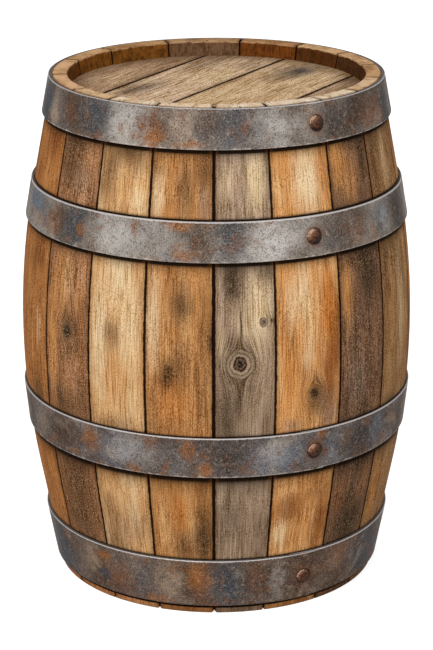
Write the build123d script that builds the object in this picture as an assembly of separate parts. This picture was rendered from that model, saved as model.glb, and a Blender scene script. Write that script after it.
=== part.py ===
from build123d import *
import os
from math import asin, atan2, cos, degrees, pi, radians, sin, sqrt, tan

# A wooden firkin: a small cask of sixteen bent staves, two boarded heads and four riveted hoops.
# Millimetres. The origin is the centre of the foot, with +Z up through the top head.
# Angles round the cask are degrees from the front (-Y), growing towards +X.
# Heights above or below the bilge, the widest place, are used to draw the barrel's outline.

# The outline: a bend in the middle that runs on as a straight taper to each end
cask_height = 515.0
bilge_diameter = 396.4
bend_radius = 773.7
bend_half_height = 144.4

# Staves
stave_thickness = 17.0
stave_joint_angles = (
    -0.8, 16.6, 37.2, 55.7, 78.2, 100.7, 123.2, 145.8,
    170.5, 199.9, 227.0, 250.5, 276.5, 302.4, 321.4, 339.7,
)
open_joint = 0
worn_joints = (1, 8, 15)
tight_arris = 0.7
worn_arris = 1.3
open_arris = 1.9
end_arris = 0.9

# The rim: each joint has worn open there, by so much on each side
chime_end_thickness = 14.4
rim_notches = (3.0, 2.0, 1.8, 2.0, 1.6, 1.6, 1.8, 2.2, 2.2, 2.4, 3.2, 1.8, 1.6, 2.0, 1.8, 2.4)
wall_notch_share = 0.5

# The groove for the head, and the shallow hollow cut beside it
chime_depth = 15.5
croze_depth = 5.0
croze_gap = 0.1
howel_depth = 2.0
howel_height = 30.0

# Heads, each of four boards with a long bevel on the wet side
head_thickness = 18.0
head_tip_thickness = 5.0
head_bevel_width = 29.0
head_arris = 0.9
head_joint_shares = (0.535, 0.0, -0.65)
top_head_run = 61.0
bottom_head_run = 69.0
dowel_diameter = 8.0
dowel_sides = 8
dowel_length = 40.0
dowel_fit = 0.05
dowel_end_gap = 0.4
dowel_place_shares = (-0.45, 0.45)

# Hoops: tapered strips whose ends are drawn down thin and lap under one rivet
hoop_seat = 0.05
hoop_arris = 0.7
lap_tip_thickness = 0.6
lap_gap = 0.1
lap_before_rivet = 15.0
lap_past_rivet = 11.5
lap_steps = 6
lap_rise_length = 20.0
lap_rise_steps = 4
top_hoop_width = 38.6
top_hoop_thickness = 3.8
top_hoop_inset = 0.4
upper_hoop_width = 38.9
upper_hoop_thickness = 2.8
upper_hoop_rise = 133.5
lower_hoop_width = 42.3
lower_hoop_thickness = 2.0
lower_hoop_drop = 79.8
bottom_hoop_width = 53.2
bottom_hoop_thickness = 3.0
bottom_hoop_inset = 9.5

# Rivets. Their heads are hammered into rings of flats, narrowing to a peak struck a little off centre
rivet_angles = (32.9, 28.85, 28.8, 29.6)
rivet_head_diameter = 14.2
rivet_head_height = 4.3
rivet_head_sides = 12
rivet_ring_shares = ((1.0, 0.0), (0.96, 0.28), (0.76, 0.63), (0.45, 0.88), (0.15, 1.0))
rivet_peak_shift = 0.9
rivet_shank_diameter = 6.0
rivet_tail_diameter = 9.0
rivet_tail_depth = 1.2
rivet_fit = 0.05

# Bung and keystone: tapered plugs, each in a tapered hole
bung_stave = 8
bung_diameter = 48.0
bung_length = 21.0
bung_sink = 0.5
keystone_diameter = 38.0
keystone_length = 22.0
keystone_proud = 2.0
keystone_inset = 19.0
plug_taper = 3.0
plug_arris = 1.2
plug_fit = 0.05
bung_sinking_diameter = 13.0
keystone_sinking_diameter = 19.0
sinking_depth = 3.0
cut_over = 10.0

# Worked out from the sizes above
middle = cask_height / 2
bilge_radius = bilge_diameter / 2
end_taper = degrees(asin(bend_half_height / bend_radius))
bend_centre = bilge_radius - bend_radius
bend_end_radius = bend_centre + bend_radius * cos(radians(end_taper))
end_radius = bend_end_radius - (middle - bend_half_height) * tan(radians(end_taper))
chime_radius = end_radius - stave_thickness / cos(radians(end_taper))
mouth_radius = end_radius - chime_end_thickness
inner_bend_radius = bend_radius - stave_thickness
inner_bend_height = inner_bend_radius * sin(radians(end_taper))
inner_bend_end = bend_centre + inner_bend_radius * cos(radians(end_taper))
head_radius = chime_radius + croze_depth - croze_gap
bevel_slope = (head_thickness - head_tip_thickness) / head_bevel_width
head_face = middle - chime_depth
croze_top = head_face + croze_gap
croze_bottom = head_face - head_tip_thickness - croze_gap
croze_lip = croze_bottom - bevel_slope * croze_depth
bung_angle = (stave_joint_angles[bung_stave] + stave_joint_angles[bung_stave + 1]) / 2
keystone_angle = bung_angle - 180
front = Plane(origin=(0, 0, 0), x_dir=(0, -1, 0), z_dir=(-1, 0, 0))


def wood_radius(height):
    """Outer radius of the wood at a height above or below the bilge."""
    above = abs(height)
    if above <= bend_half_height:
        return bend_centre + sqrt(bend_radius**2 - above**2)
    return bend_end_radius - (above - bend_half_height) * tan(radians(end_taper))


def inner_radius(height):
    """Inner radius of a stave at a height above or below the bilge, clear of the head grooves."""
    above = abs(height)
    if above <= inner_bend_height:
        return bend_centre + sqrt(inner_bend_radius**2 - above**2)
    return inner_bend_end - (above - inner_bend_height) * tan(radians(end_taper))


def wall_radius(height):
    """Inner radius of the rim, which opens towards its end, at a height above or below the bilge."""
    share = (abs(height) - croze_top) / (middle - croze_top)
    return chime_radius + (mouth_radius - chime_radius) * share


def wood_lean(height):
    """Lean of the wood's face from upright, in degrees, positive above the bilge."""
    lean = degrees(asin(min(abs(height), bend_half_height) / bend_radius))
    return lean if height > 0 else -lean


def beside_bilge(shape, angle=0):
    """The shape, drawn as radius and height from the bilge, set in the cask at an angle."""
    return (front * Pos(0, middle) * shape).rotate(Axis.Z, angle)


def face_of(lines):
    """The flat face inside a closed run of lines."""
    return make_face(Curve() + lines)


# Staves

def inner_lines(side):
    """Inner line of a stave from the bilge to one end. side is 1 for the top and -1 for the foot."""
    howel_end = croze_lip - howel_height
    howel_middle = croze_lip - howel_height / 2
    howel_radius = (chime_radius + inner_radius(howel_end)) / 2 + howel_depth
    bend_middle = inner_bend_height / 2
    bend = ThreePointArc(
        (inner_radius(0), 0),
        (inner_radius(bend_middle), side * bend_middle),
        (inner_radius(inner_bend_height), side * inner_bend_height),
    )
    taper = Line(bend @ 1, (inner_radius(howel_end), side * howel_end))
    howel = ThreePointArc(
        taper @ 1,
        (howel_radius, side * howel_middle),
        (chime_radius, side * croze_lip),
    )
    croze = Polyline(
        howel @ 1,
        (chime_radius + croze_depth, side * croze_bottom),
        (chime_radius + croze_depth, side * croze_top),
        (chime_radius, side * croze_top),
        (mouth_radius, side * middle),
    )
    return [bend, taper, howel, croze]


def stave_section():
    """The long section of a stave: bent in the middle, straight to the ends, grooved for the heads."""
    bend = ThreePointArc(
        (wood_radius(bend_half_height), -bend_half_height),
        (bilge_radius, 0),
        (wood_radius(bend_half_height), bend_half_height),
    )
    lines = [bend]
    for side in (-1, 1):
        start = (wood_radius(bend_half_height), side * bend_half_height)
        lines.append(Line(start, (end_radius, side * middle)))
        lines.append(Line((end_radius, side * middle), (mouth_radius, side * middle)))
        lines += inner_lines(side)
    return face_of(lines)


def radius_and_height(edge):
    """Radius of an edge's middle, and its height from the bilge."""
    spot = edge @ 0.5
    return Vector(spot.X, spot.Y, 0).length, spot.Z - middle


def joint_face(stave, angle):
    """The flat face of a stave that lies in the joint at an angle."""
    def away(face):
        spot = face.center()
        return abs((degrees(atan2(spot.X, -spot.Y)) - angle + 180) % 360 - 180)
    return min(stave.faces().filter_by(GeomType.PLANE), key=away)


def long_edges(face):
    """The outer arris of a joint face, from end to end."""
    found = []
    for edge in face.edges():
        radius, height = radius_and_height(edge)
        if abs(radius - wood_radius(height)) < hoop_seat and abs(height) < middle - hoop_seat:
            found.append(edge)
    return found


def rim_edges(stave):
    """The edges round both ends of a stave."""
    return [edge for edge in stave.edges() if abs(abs(radius_and_height(edge)[1]) - middle) < hoop_seat]


def wall_edges(face):
    """The upright arrises of a joint face, inside the rim at both ends."""
    found = []
    for edge in face.edges():
        radius, height = radius_and_height(edge)
        if abs(height) > head_face + croze_depth and abs(radius - wall_radius(height)) < hoop_seat:
            found.append(edge)
    return found


def arris_of(joint):
    """How wide the arrises along a joint have worn."""
    if joint == open_joint:
        return open_arris
    return worn_arris if joint in worn_joints else tight_arris


def notch(joint, side):
    """What is cut from one end of a joint to leave a V in the rim. side is 1 for the top."""
    half = rim_notches[joint]
    turn = radians(stave_joint_angles[joint])
    wedge = Polyline((0, -half), (half + cut_over, cut_over), (-half - cut_over, cut_over), close=True)
    reach = end_radius + cut_over
    place = Plane(
        origin=(0, 0, middle + side * middle),
        x_dir=(side * cos(turn), side * sin(turn), 0),
        z_dir=(sin(turn), -cos(turn), 0),
    )
    return place * extrude(make_face(wedge), reach)


def make_stave(number):
    """One stave, its long arrises worn as the joints beside it are."""
    following = (number + 1) % len(stave_joint_angles)
    start = stave_joint_angles[number]
    sweep = (stave_joint_angles[following] - start) % 360
    section = beside_bilge(stave_section(), start)
    stave = revolve(section, axis=Axis.Z, revolution_arc=sweep)
    for joint in (number, following):
        wall_arris = wall_notch_share * rim_notches[joint]
        stave = chamfer(long_edges(joint_face(stave, stave_joint_angles[joint])), arris_of(joint))
        stave = chamfer(wall_edges(joint_face(stave, stave_joint_angles[joint])), wall_arris)
    stave = chamfer(rim_edges(stave), end_arris)
    return stave - [notch(joint, side) for joint in (number, following) for side in (-1, 1)]


# Tapered plugs

def plug(diameter, length, slack=0):
    """A round plug that narrows along -Z from its outer face in the plane Z = 0."""
    wide = diameter / 2 + slack
    narrow = wide - length * tan(radians(plug_taper))
    half = Polyline((0, 0), (wide, 0), (narrow, -length), (0, -length), close=True)
    return revolve(Plane.XZ * make_face(half), axis=Axis.Z)


def finished_plug(diameter, length, sinking):
    """A plug with its outer rim eased, and a shallow sinking where a spile or tap is driven through."""
    whole = plug(diameter, length)
    rim = whole.edges().filter_by(GeomType.CIRCLE).sort_by(Axis.Z)[-1]
    return chamfer(rim, plug_arris) - Cylinder(sinking / 2, 2 * sinking_depth)


def bung_place():
    """The plane of the bung's outer face, just under the wood all round, facing straight out."""
    side_sink = bilge_radius - sqrt(bilge_radius**2 - (bung_diameter / 2)**2)
    reach = bilge_radius - side_sink - bung_sink
    turn = radians(bung_angle)
    out = Vector(sin(turn), -cos(turn), 0)
    return Plane(origin=out * reach + Vector(0, 0, middle), z_dir=out)


def keystone_place():
    """The plane of the keystone's outer face, under the bottom head, facing down."""
    reach = chime_radius - keystone_inset - keystone_diameter / 2
    turn = radians(keystone_angle)
    height = chime_depth - keystone_proud
    return Plane(origin=(reach * sin(turn), -reach * cos(turn), height), z_dir=(0, 0, -1))


def hole_for(place, diameter, length):
    """The tapered hole for a plug, running on past both faces of the wood."""
    wider = cut_over * tan(radians(plug_taper))
    return place * Pos(0, 0, cut_over) * plug(diameter + 2 * wider, length + 2 * cut_over, plug_fit)


# Heads

def head_disc(side):
    """A whole round head. side is 1 for the top and -1 for the foot."""
    def at_depth(radius, depth):
        return radius, side * (head_face - depth)
    outline = Polyline(
        at_depth(0, 0),
        at_depth(head_radius, 0),
        at_depth(head_radius, head_tip_thickness),
        at_depth(head_radius - head_bevel_width, head_thickness),
        at_depth(0, head_thickness),
        close=True,
    )
    return revolve(beside_bilge(make_face(outline)), axis=Axis.Z)


def dowel_places(side, run):
    """Planes at the middles of the dowels. Each lies in a joint, and its Z runs across the joint."""
    height = middle + side * (head_face - head_thickness / 2)
    along = Vector(cos(radians(run)), sin(radians(run)), 0)
    across = Vector(-sin(radians(run)), cos(radians(run)), 0)
    found = []
    for share in head_joint_shares:
        shift = share * head_radius
        half_chord = sqrt(head_radius**2 - shift**2)
        for place_share in dowel_place_shares:
            spot = across * shift + along * (place_share * half_chord) + Vector(0, 0, height)
            found.append(Plane(origin=spot, z_dir=across))
    return found


def make_boards(side, run):
    """The boards of one head, in order across it from its left-hand rim."""
    disc = head_disc(side)
    holes = [
        place * Cylinder(dowel_diameter / 2 + dowel_fit, dowel_length + 2 * dowel_end_gap)
        for place in dowel_places(side, run)
    ]
    edges = [head_radius + cut_over]
    edges += [share * head_radius for share in head_joint_shares]
    edges += [-head_radius - cut_over]
    outer_face = middle + side * head_face
    boards = []
    for left, right in zip(edges, edges[1:]):
        slab = Box(2 * edges[0], left - right, cask_height, align=(Align.CENTER, Align.MIN, Align.MIN))
        board = disc & (slab.moved(Location((0, right, 0)))).rotate(Axis.Z, run)
        joints = [
            edge for edge in board.edges().filter_by(GeomType.LINE)
            if abs((edge @ 0.5).Z - outer_face) < hoop_seat
        ]
        board = chamfer(joints, head_arris)
        boards.append(board - holes)
    return boards


def make_dowels(side, run):
    """All the dowels of one head: cleft pegs, each driven into a round hole in both boards."""
    peg = extrude(RegularPolygon(dowel_diameter / 2, dowel_sides), dowel_length / 2, both=True)
    return Compound([place * peg for place in dowel_places(side, run)])


# Hoops and rivets

def band_section(height, width, thickness, lift=0, share=1):
    """A strip's section, flat against the wood at a height, drawn down to a share and lifted off its seat."""
    lean = radians(wood_lean(height))
    foot = Vector(wood_radius(height), height)
    up = Vector(-sin(lean), cos(lean))
    out = Vector(cos(lean), sin(lean))
    under = hoop_seat + lift
    over = under + thickness * share
    half = width / 2
    arris = hoop_arris * share
    corners = [
        (-half, under), (half, under), (half, over - arris),
        (half - arris, over), (arris - half, over), (-half, over - arris),
    ]
    points = [foot + up * rise + out * away for rise, away in corners]
    return make_face(Polyline([(point.X, point.Y) for point in points], close=True))


def lapped_thickness(thickness):
    """The thickness of a hoop of a given strip where its ends lap."""
    return thickness + lap_gap + lap_tip_thickness


def rivet_place(height, angle):
    """The plane of a rivet's tail on a hoop's inner face. Z is out of the hoop and X along it."""
    lean = radians(wood_lean(height))
    turn = radians(angle)
    reach = wood_radius(height) + hoop_seat * cos(lean)
    rise = middle + height + hoop_seat * sin(lean)
    spot = (reach * sin(turn), -reach * cos(turn), rise)
    out = (cos(lean) * sin(turn), -cos(lean) * cos(turn), sin(lean))
    return Plane(origin=spot, x_dir=(cos(turn), sin(turn), 0), z_dir=out)


def make_rivet(height, thickness, angle):
    """A rivet with a hammered head outside, a shank through both laps and a flush tapered tail."""
    shank = rivet_shank_diameter / 2
    tail = rivet_tail_diameter / 2
    seat = lapped_thickness(thickness) + rivet_fit
    half = Polyline((0, 0), (tail, 0), (shank, rivet_tail_depth), (shank, seat), (0, seat), close=True)
    rings = []
    for radius_share, rise_share in rivet_ring_shares:
        ring = RegularPolygon(radius_share * rivet_head_diameter / 2, rivet_head_sides)
        rings.append(Pos(rise_share * rivet_peak_shift, 0, seat + rise_share * rivet_head_height) * ring)
    rivet = revolve(Plane.XZ * make_face(half), axis=Axis.Z) + loft(rings, ruled=True)
    return rivet_place(height, angle) * rivet


def rivet_hole(height, thickness, angle):
    """The hole for a rivet through both laps of a hoop."""
    shank = rivet_shank_diameter / 2 + rivet_fit
    tail = rivet_tail_diameter / 2 + rivet_fit
    top = lapped_thickness(thickness) + cut_over
    outline = Polyline(
        (0, -cut_over), (tail, -cut_over), (tail, 0), (shank, rivet_tail_depth),
        (shank, top), (0, top), close=True,
    )
    return rivet_place(height, angle) * revolve(Plane.XZ * make_face(outline), axis=Axis.Z)


def strip(height, width, thickness, stations):
    """A stretch of hoop through stations, each an angle with the strip's lift and thickness share there."""
    sections = [
        beside_bilge(band_section(height, width, thickness, lift, share), angle)
        for angle, lift, share in stations
    ]
    return loft(sections, ruled=True)


def make_hoop(height, width, thickness, angle):
    """A strip once round the cask, lapped over its own start and pierced for its rivet."""
    arc = 180 / (pi * wood_radius(height))
    start = angle - lap_before_rivet * arc
    end = angle + lap_past_rivet * arc
    rise = lap_rise_length * arc
    climb = lap_tip_thickness + lap_gap
    section = beside_bilge(band_section(height, width, thickness), end)
    once_round = revolve(section, axis=Axis.Z, revolution_arc=360 - (end - start) - rise)
    over = []
    for step in range(lap_rise_steps):
        share = step / lap_rise_steps
        over.append((start - rise * (1 - share), climb * share, 1))
    under = []
    for step in range(lap_steps + 1):
        share = step / lap_steps
        station = start + (end - start) * share
        drawn_down = lap_tip_thickness + (thickness - lap_tip_thickness) * share
        left = thickness + lap_tip_thickness - drawn_down
        under.append((station, 0, drawn_down / thickness))
        over.append((station, drawn_down + lap_gap, left / thickness))
    laps = strip(height, width, thickness, under) + strip(height, width, thickness, over)
    return once_round + laps - rivet_hole(height, thickness, angle)


def end_hoop_height(width, thickness, inset):
    """Height above the bilge of an end hoop's middle, its outer edge an inset from the staves' ends."""
    lean = radians(end_taper)
    return middle - inset - width / 2 * cos(lean) - (hoop_seat + thickness) * sin(lean)


def litres():
    """What the cask holds between its heads."""
    reach = head_face - head_thickness
    slices = 400
    step = 2 * reach / slices
    total = 0
    for number in range(slices):
        height = -reach + (number + 1 / 2) * step
        total += pi * inner_radius(height)**2 * step
    return total / 1e6


top_hoop_height = end_hoop_height(top_hoop_width, top_hoop_thickness, top_hoop_inset)
bottom_hoop_height = -end_hoop_height(bottom_hoop_width, bottom_hoop_thickness, bottom_hoop_inset)
hoop_sizes = {
    "top_chime": (top_hoop_height, top_hoop_width, top_hoop_thickness),
    "upper_bilge": (upper_hoop_rise, upper_hoop_width, upper_hoop_thickness),
    "lower_bilge": (-lower_hoop_drop, lower_hoop_width, lower_hoop_thickness),
    "bottom_chime": (bottom_hoop_height, bottom_hoop_width, bottom_hoop_thickness),
}

nodes = {}
for number in range(len(stave_joint_angles)):
    if number == bung_stave:
        hole = hole_for(bung_place(), bung_diameter, bung_length)
        nodes["bung_stave"] = make_stave(number) - hole
    else:
        nodes[f"stave_{number + 1:02d}"] = make_stave(number)

tap_hole = hole_for(keystone_place(), keystone_diameter, keystone_length)
for end, side, run in (("top", 1, top_head_run), ("bottom", -1, bottom_head_run)):
    for number, board in enumerate(make_boards(side, run)):
        nodes[f"{end}_head_board_{number + 1}"] = board if side > 0 else board - tap_hole
    nodes[f"{end}_head_dowels"] = make_dowels(side, run)

for (name, (height, width, thickness)), angle in zip(hoop_sizes.items(), rivet_angles):
    nodes[f"{name}_hoop"] = make_hoop(height, width, thickness, angle)
    nodes[f"{name}_rivet"] = make_rivet(height, thickness, angle)

bung = finished_plug(bung_diameter, bung_length, bung_sinking_diameter)
nodes["bung"] = bung_place() * bung
keystone = finished_plug(keystone_diameter, keystone_length, keystone_sinking_diameter)
nodes["keystone"] = keystone_place() * keystone

os.makedirs("parts", exist_ok=True)
for name, shape in nodes.items():
    shape.label = name
    export_step(shape, f"parts/{name}.step")

print(f"nodes {len(nodes)}, holds {litres():.1f} litres")
print(f"bilge {bilge_diameter:.1f} wide, ends {2 * end_radius:.1f} wide, taper {end_taper:.2f} degrees")
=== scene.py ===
# %% [markdown]
# A firkin is a small cask for nine gallons of beer: sixteen bent oak staves, two boarded heads and four
# iron hoops. Its sizes, joints and moving plugs were settled in CAD, so this lesson loads that model as a
# fixed frame and adds what CAD can't: weathered oak, rusty iron, a camera and light.

# %% Load the cask
from functools import partial
from math import atan2, cos, degrees, hypot, pi, radians, sin
from random import Random

import bpy
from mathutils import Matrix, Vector


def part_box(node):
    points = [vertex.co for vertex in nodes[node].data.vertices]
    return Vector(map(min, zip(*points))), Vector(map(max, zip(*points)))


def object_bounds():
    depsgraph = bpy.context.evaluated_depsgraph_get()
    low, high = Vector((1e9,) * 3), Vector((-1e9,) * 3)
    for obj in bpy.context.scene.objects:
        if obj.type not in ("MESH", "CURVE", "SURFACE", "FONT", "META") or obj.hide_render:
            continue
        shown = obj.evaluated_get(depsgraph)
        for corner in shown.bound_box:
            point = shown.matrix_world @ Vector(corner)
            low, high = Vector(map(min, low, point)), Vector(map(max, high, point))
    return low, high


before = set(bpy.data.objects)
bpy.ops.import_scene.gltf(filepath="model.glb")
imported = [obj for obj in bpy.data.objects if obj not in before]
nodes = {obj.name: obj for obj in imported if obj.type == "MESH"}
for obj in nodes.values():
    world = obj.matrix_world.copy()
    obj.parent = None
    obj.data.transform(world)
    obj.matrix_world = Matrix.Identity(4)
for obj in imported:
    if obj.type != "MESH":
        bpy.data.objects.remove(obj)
cad_low, cad_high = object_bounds()
mm = 0.001
cask_height = cad_high.z / mm
stave_names = sorted(name for name in nodes if "stave" in name)
bilge_radius = max(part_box(name)[1].x for name in stave_names) / mm
print(f"{len(nodes)} pieces, {cask_height:.0f} mm tall, {2 * bilge_radius:.0f} mm wide at the bilge")

# %% [markdown]
# The picture was taken a little above the rim, looking down on the head, with a long lens. The camera goes
# where the ellipses of the rims and hoops put it, because that alone makes every later comparison fair. It
# could be placed by eye, but a wrong height shows at once in how round the head looks.

# %% Camera
camera_distance = 2.3334
camera_height = 1.0153
camera_pitch = 71.807
lens = 132.2

camera = bpy.data.objects.new("camera", bpy.data.cameras.new("camera"))
camera.data.lens = lens
camera.location = (0, -camera_distance, camera_height)
camera.rotation_euler = (radians(camera_pitch), 0, 0)
bpy.context.scene.collection.objects.link(camera)
bpy.context.scene.camera = camera
print(f"camera {camera_distance:.2f} m in front, {camera_height:.2f} m up")

# %% [markdown]
# A shader is a chain of small nodes. One helper adds a node, sets it and links it, and one turns the hex
# colours that painters and web pages use into the linear numbers that the renderer adds up. Places come in
# metres and patterns are set in millimetres, so another helper turns one into the other.

# %% Helpers for materials
eased = {"interpolation_type": "SMOOTHSTEP"}


def add(tree, kind, values=(), **settings):
    """Add a shader node. Values fill its inputs by name or in order, and nodes among them are linked."""
    node = tree.nodes.new("ShaderNode" + kind)
    for name, value in settings.items():
        setattr(node, name, value)
    for socket, value in (values.items() if isinstance(values, dict) else enumerate(values)):
        if isinstance(value, bpy.types.Node):
            value = value.outputs[0]
        if isinstance(value, bpy.types.NodeSocket):
            tree.links.new(value, node.inputs[socket])
        else:
            node.inputs[socket].default_value = value
    return node


def linear(hex_colour):
    """An sRGB hex colour as linear red, green, blue and alpha."""
    shares = [int(hex_colour[place:place + 2], 16) / 255 for place in (0, 2, 4)]
    return [share / 12.92 if share <= 0.04045 else ((share + 0.055) / 1.055) ** 2.4 for share in shares] + [1]


def new_material(name):
    """A material with only a shader and an output, and the node tree they are in."""
    material = bpy.data.materials.new(name)
    material.use_nodes = True
    return material, material.node_tree, material.node_tree.nodes["Principled BSDF"]


def in_millimetres(tree, place):
    """A place in metres, turned into millimetres."""
    return add(tree, "VectorMath", [place, (1 / mm, 1 / mm, 1 / mm)], operation="MULTIPLY")


def facing_ends(tree):
    """1 on a face that looks straight up or down, 0 on one that looks sideways, and between them a share."""
    normal = add(tree, "SeparateXYZ", [add(tree, "NewGeometry").outputs["Normal"]])
    return add(tree, "Math", [normal.outputs["Z"]], operation="ABSOLUTE")


def seen_white(tree):
    """1 for rays from the camera and from glossy or clear surfaces, which see the room white, and else 0."""
    ray = add(tree, "LightPath").outputs
    seen = add(tree, "Math", [ray["Is Camera Ray"], ray["Is Glossy Ray"]], operation="MAXIMUM")
    return add(tree, "Math", [seen, ray["Is Transmission Ray"]], operation="MAXIMUM")


def dress(name, material):
    """Give one piece of the cask its material."""
    nodes[name].data.materials.clear()
    nodes[name].data.materials.append(material)


print("mid grey is", [round(share, 3) for share in linear("808080")])

# %% [markdown]
# Wood is drawn along its grain, so every board gets its own directions: across it, into it and along it, in
# millimetres. A head board needs only a turn. A stave is bent round the cask, so its across is the angle
# from its own middle times the bilge radius, which lets the grain taper with the stave.

# %% Directions in a board
def turned(tree, angle):
    """The place in metres, turned about the cask's axis so that an angle from the front is brought to 0."""
    place = add(tree, "TexCoord").outputs["Object"]
    return add(tree, "VectorRotate", {"Vector": place, "Angle": -angle}, rotation_type="Z_AXIS")


def stave_directions(tree, middle):
    """Across, into and along a stave in mm. Into is the distance from the cask's axis."""
    split = add(tree, "SeparateXYZ", [turned(tree, middle)])
    front = add(tree, "Math", [split.outputs["Y"], -1.0], operation="MULTIPLY")
    angle = add(tree, "Math", [split.outputs["X"], front], operation="ARCTAN2")
    flat = add(tree, "CombineXYZ", [split.outputs["X"], split.outputs["Y"]])
    radius = add(tree, "VectorMath", [flat], operation="LENGTH").outputs["Value"]
    unrolled = add(tree, "CombineXYZ", [angle, radius, split.outputs["Z"]])
    size = (bilge_radius, 1 / mm, 1 / mm)
    return add(tree, "VectorMath", [unrolled, size], operation="MULTIPLY")


def board_directions(tree, run):
    """Across, into and along a head board in mm. Its run is the angle of its length from the X axis."""
    split = add(tree, "SeparateXYZ", [turned(tree, run)])
    return in_millimetres(tree, add(tree, "CombineXYZ", [split.outputs[name] for name in "YZX"]))


def stave_spread(name):
    """The angle of a stave's middle from the front, and half its width round the bilge in mm."""
    low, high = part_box(name)
    middle = atan2((low.x + high.x) / 2, -(low.y + high.y) / 2)
    turns = []
    for vertex in nodes[name].data.vertices:
        angle = atan2(vertex.co.x, -vertex.co.y) - middle
        turns.append((angle + pi) % (2 * pi) - pi)
    return middle + (min(turns) + max(turns)) / 2, (max(turns) - min(turns)) / 2 * bilge_radius


for name in stave_names[:3]:
    middle, half_width = stave_spread(name)
    print(f"{name}: middle {degrees(middle):.1f} degrees, {2 * half_width:.0f} mm wide")

# %% [markdown]
# Weathered oak is painted in coats, as a scene painter would: each coat is one colour, laid where a pattern
# is strong. Streaks are noise pulled long and thin, for grain and pores. Ovals are soft marks, for stains,
# sun-bleached places, soot and painted shade. Each takes its sizes in millimetres, so it stays right at any
# distance.

# %% Patterns and coats
finest_streak = 0.8
seed_steps = (17.3, 5.1, 31.7)
endless = 1e5


def streaks(tree, place, width, length, seed, detail=2.0):
    """Noise pulled out along the grain, as wide and as long as given in mm."""
    size = (1 / width, 1 / (8 * width), 1 / length)
    scaled = add(tree, "VectorMath", [place, size], operation="MULTIPLY")
    shift = tuple(step * seed for step in seed_steps)
    shifted = add(tree, "VectorMath", [scaled, shift], operation="ADD")
    return add(tree, "TexNoise", {"Vector": shifted, "Scale": 1.0, "Detail": detail})


def oval(tree, place, across, along, half_width, half_length):
    """How far out a place is from the middle of an oval: 0 there, 1 on its outline and more beyond."""
    outline = {"Vector": place, "Location": (across, 0, along), "Scale": (half_width, endless, half_length)}
    centred = add(tree, "Mapping", outline, vector_type="TEXTURE")
    return add(tree, "VectorMath", [centred], operation="LENGTH").outputs["Value"]


def coat(tree, under, hex_colour, pattern, start, end, strength=1.0, mode="MIX"):
    """Lay a colour over another: none of it where a pattern is at start, its full strength from end on."""
    share = add(tree, "MapRange", [pattern, start, end, 0.0, strength], **eased)
    return add(tree, "MixRGB", [share, under, linear(hex_colour)], blend_type=mode)


print("the finest streaks are", finest_streak, "mm wide, because one pixel of the picture is about 1 mm")

# %% [markdown]
# The staves have weathered one by one, so each has three tones of its own: where it is bleached, its body
# and where it is dark. The oak is dry and unvarnished, riven along the grain and shaved with a drawknife:
# it is dull, rough and streaked, and its edges are darker where water has crept into the joints.

# %% Colours of the staves
stave_tones = {
    "stave_13": ("C88C56", "A96C38", "7A4A26"),
    "stave_14": ("C6926C", "9C6C4A", "5C3D29"),
    "stave_15": ("E8CAA0", "D2A26E", "A27046"),
    "stave_16": ("D8A872", "B67E4A", "7C4E28"),
    "stave_01": ("CAB199", "957D68", "5E4A3C"),
    "stave_02": ("EABE8A", "D09256", "8E5428"),
    "stave_03": ("946A4C", "6E503E", "422F24"),
    "stave_04": ("B48C60", "966E48", "644028"),
}
hidden_tones = {
    "stave_05": "stave_16", "stave_06": "stave_01", "stave_07": "stave_13", "stave_08": "stave_02",
    "bung_stave": "stave_04", "stave_10": "stave_14", "stave_11": "stave_15", "stave_12": "stave_03",
}
pale, amber, honey, sun, orange, russet = "ECD2AA", "F4AC74", "CC8E50", "BE7E40", "BE7028", "7E4418"
umber, soot_and_shade, ash = "583A24", "34261B", "85766A"
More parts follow.
